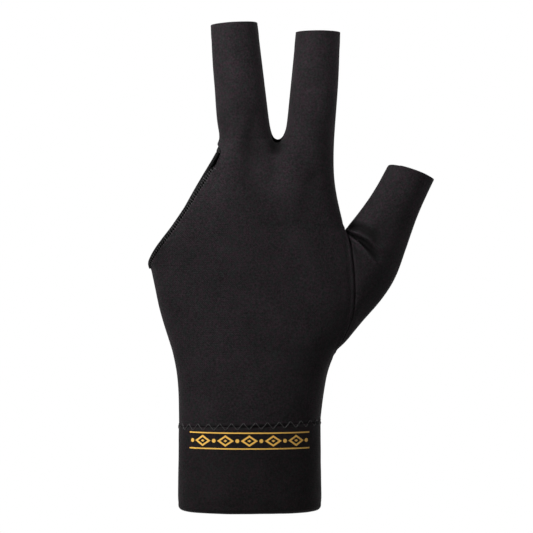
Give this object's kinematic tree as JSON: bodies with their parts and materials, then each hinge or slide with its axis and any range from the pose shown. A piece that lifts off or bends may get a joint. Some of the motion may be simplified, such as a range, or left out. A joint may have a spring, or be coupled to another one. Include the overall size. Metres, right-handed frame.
{
  "type": "billiard glove",
  "caption": "Fingerless stretch-knit billiard glove in its worn form, with sleeves for thumb, index and middle finger, a slanted opening beside them and a long wrist cuff.",
  "frame": {"origin": "middle of the wrist's mouth, at the lower edge of the cuff", "axes": "+Z from the wrist to the fingertips, +X towards the thumb, +Y from the back of the hand to the palm"},
  "size_m": [0.1264, 0.0406, 0.2145],
  "materials": {
    "hand_knit": "matt fine-gauge stretch knit, near black",
    "cuff_knit": "matt doubled stretch knit, near black",
    "hem_knit": "matt folded knit edge, near black"
  },
  "bodies": {
    "root": {"back_panel": "hand_knit", "palm_panel": "hand_knit", "thumb_sleeve": "hand_knit", "wrist_cuff": "cuff_knit", "finger_opening_hem": "hem_knit"}
  },
  "joints": []
}
